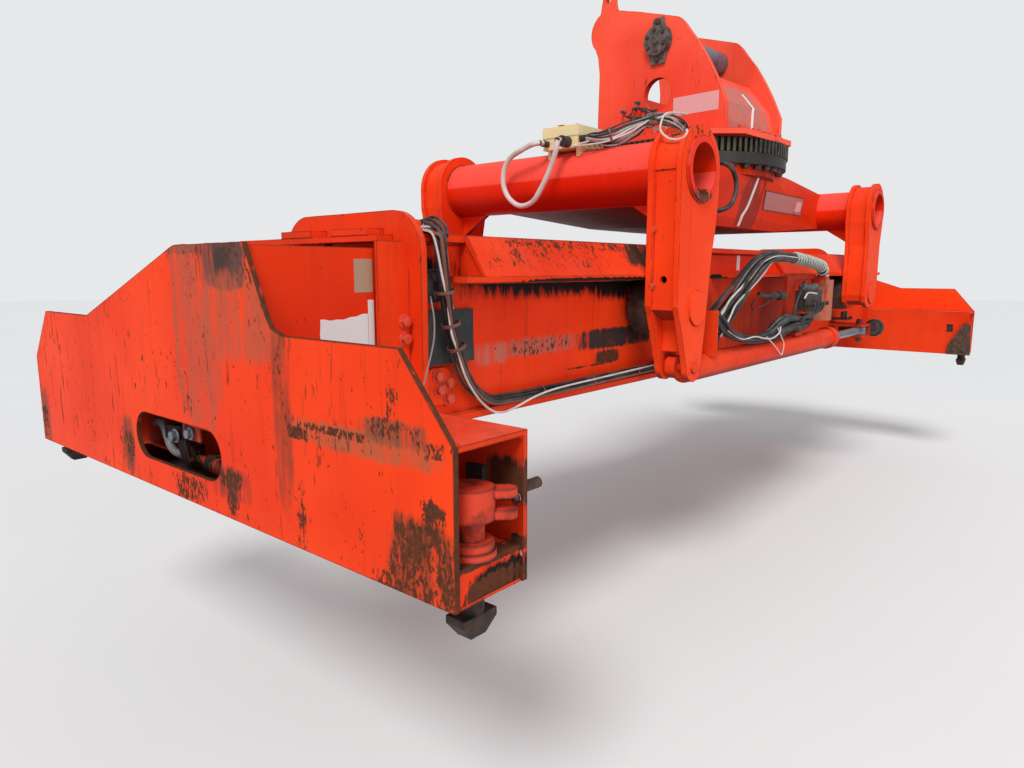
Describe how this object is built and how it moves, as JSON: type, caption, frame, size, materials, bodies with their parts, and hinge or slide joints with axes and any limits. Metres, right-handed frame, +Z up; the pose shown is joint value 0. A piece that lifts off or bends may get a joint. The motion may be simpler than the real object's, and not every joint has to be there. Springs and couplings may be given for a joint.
{
  "type": "reach stacker container spreader",
  "caption": "Telescopic container spreader at its short length, hung by roller arms from a side-shift yoke with slewing ring and tilt head.",
  "frame": {"origin": "middle of the boom pin, on the slewing axis", "axes": "+Z up, X along the spreader's length, Y across it; the tilt head with the boom pin stands turned by 4 degrees; the truck's boom comes from the -Y side"},
  "size_m": [6.052, 2.414, 2.3909],
  "materials": {
    "red_paint": "worn gloss paint",
    "dark_steel": "greasy dark steel",
    "bare_steel": "worn bare steel",
    "rusty_steel": "rusted steel",
    "box_cream": "cream plastic",
    "cable_black": "black cable and hose rubber",
    "cable_grey": "dusty grey cable sheath"
  },
  "bodies": {
    "tilt_head": {"head_cheeks": "red_paint", "head_base": "red_paint", "head_fittings": "dark_steel", "boom_pin": "bare_steel", "pin_keepers": "rusty_steel", "slew_inner_ring": "dark_steel", "slew_drive": "red_paint"},
    "yoke": {"slew_gear_ring": "dark_steel", "yoke_box": "red_paint", "yoke_tubes": "red_paint", "arm_near_right": "red_paint", "arm_near_left": "red_paint", "arm_far_right": "red_paint", "arm_far_left": "red_paint", "shift_barrel_right": "red_paint", "shift_barrel_left": "red_paint", "valve_carrier": "red_paint", "valve_block": "dark_steel", "junction_box": "box_cream", "box_glands": "dark_steel", "tube_harness": "cable_grey", "tube_loop": "cable_grey", "ring_hose": "cable_black", "valve_hoses": "cable_black", "valve_return": "cable_black"},
    "roller_near_right": {"wheel_near_right": "dark_steel"},
    "roller_near_left": {"wheel_near_left": "dark_steel"},
    "roller_far_right": {"wheel_far_right": "dark_steel"},
    "roller_far_left": {"wheel_far_left": "dark_steel"},
    "main_frame": {"frame_top": "red_paint", "frame_bottom": "red_paint", "frame_web_right": "red_paint", "frame_web_left": "red_paint", "frame_spine": "red_paint", "portal_near": "red_paint", "portal_far": "red_paint", "rail_right": "red_paint", "rail_left": "red_paint", "shift_rod_right": "bare_steel", "shift_rod_left": "bare_steel", "rod_bracket_right": "red_paint", "rod_bracket_left": "red_paint", "work_lamps": "dark_steel", "frame_harness": "cable_black"},
    "near_end": {"beam_near": "red_paint", "end_plate_near": "red_paint", "end_box_near": "red_paint", "end_guides_near": "rusty_steel", "linkage_near": "rusty_steel"},
    "lock_near_right_body": {"lock_near_right": "rusty_steel"},
    "lock_near_left_body": {"lock_near_left": "rusty_steel"},
    "far_end": {"beam_far": "red_paint", "end_plate_far": "red_paint", "end_box_far": "red_paint", "end_guides_far": "rusty_steel", "linkage_far": "rusty_steel"},
    "lock_far_right_body": {"lock_far_right": "rusty_steel"},
    "lock_far_left_body": {"lock_far_left": "rusty_steel"}
  },
  "joints": [
    {"name": "slew", "type": "hinge", "parent": "tilt_head", "child": "yoke", "pos_m": [0, 0, -0.65], "axis": [0, 0, 1], "range_deg": [-105, 195]},
    {"name": "side_shift", "type": "slide", "parent": "yoke", "child": "main_frame", "axis": [1, 0, 0], "range_m": [-0.61, 0.99]},
    {"name": "near_telescope", "type": "slide", "parent": "main_frame", "child": "near_end", "axis": [-1, 0, 0], "range_m": [0, 3.066]},
    {"name": "far_telescope", "type": "slide", "parent": "main_frame", "child": "far_end", "axis": [1, 0, 0], "range_m": [0, 3.066]},
    {"name": "roll_near_right", "type": "hinge", "parent": "yoke", "child": "roller_near_right", "pos_m": [-1.34, -0.538, -1.429], "axis": [0, 1, 0], "continuous": true},
    {"name": "roll_near_left", "type": "hinge", "parent": "yoke", "child": "roller_near_left", "pos_m": [-1.34, 0.538, -1.429], "axis": [0, 1, 0], "continuous": true},
    {"name": "roll_far_right", "type": "hinge", "parent": "yoke", "child": "roller_far_right", "pos_m": [1.34, -0.538, -1.429], "axis": [0, 1, 0], "continuous": true},
    {"name": "roll_far_left", "type": "hinge", "parent": "yoke", "child": "roller_far_left", "pos_m": [1.34, 0.538, -1.429], "axis": [0, 1, 0], "continuous": true},
    {"name": "twist_near_right", "type": "hinge", "parent": "near_end", "child": "lock_near_right_body", "pos_m": [-3.1165, -1.1295, -1.95], "axis": [0, 0, 1], "range_deg": [0, 90]},
    {"name": "twist_near_left", "type": "hinge", "parent": "near_end", "child": "lock_near_left_body", "pos_m": [-3.1165, 1.1295, -1.95], "axis": [0, 0, 1], "range_deg": [0, 90]},
    {"name": "twist_far_right", "type": "hinge", "parent": "far_end", "child": "lock_far_right_body", "pos_m": [2.7365, -1.1295, -1.95], "axis": [0, 0, 1], "range_deg": [0, 90]},
    {"name": "twist_far_left", "type": "hinge", "parent": "far_end", "child": "lock_far_left_body", "pos_m": [2.7365, 1.1295, -1.95], "axis": [0, 0, 1], "range_deg": [0, 90]}
  ],
  "couplings": [
    {"joint": "far_telescope", "follows": "near_telescope", "ratio": 1},
    {"joint": "twist_near_left", "follows": "twist_near_right", "ratio": 1},
    {"joint": "twist_far_left", "follows": "twist_far_right", "ratio": 1}
  ]
}
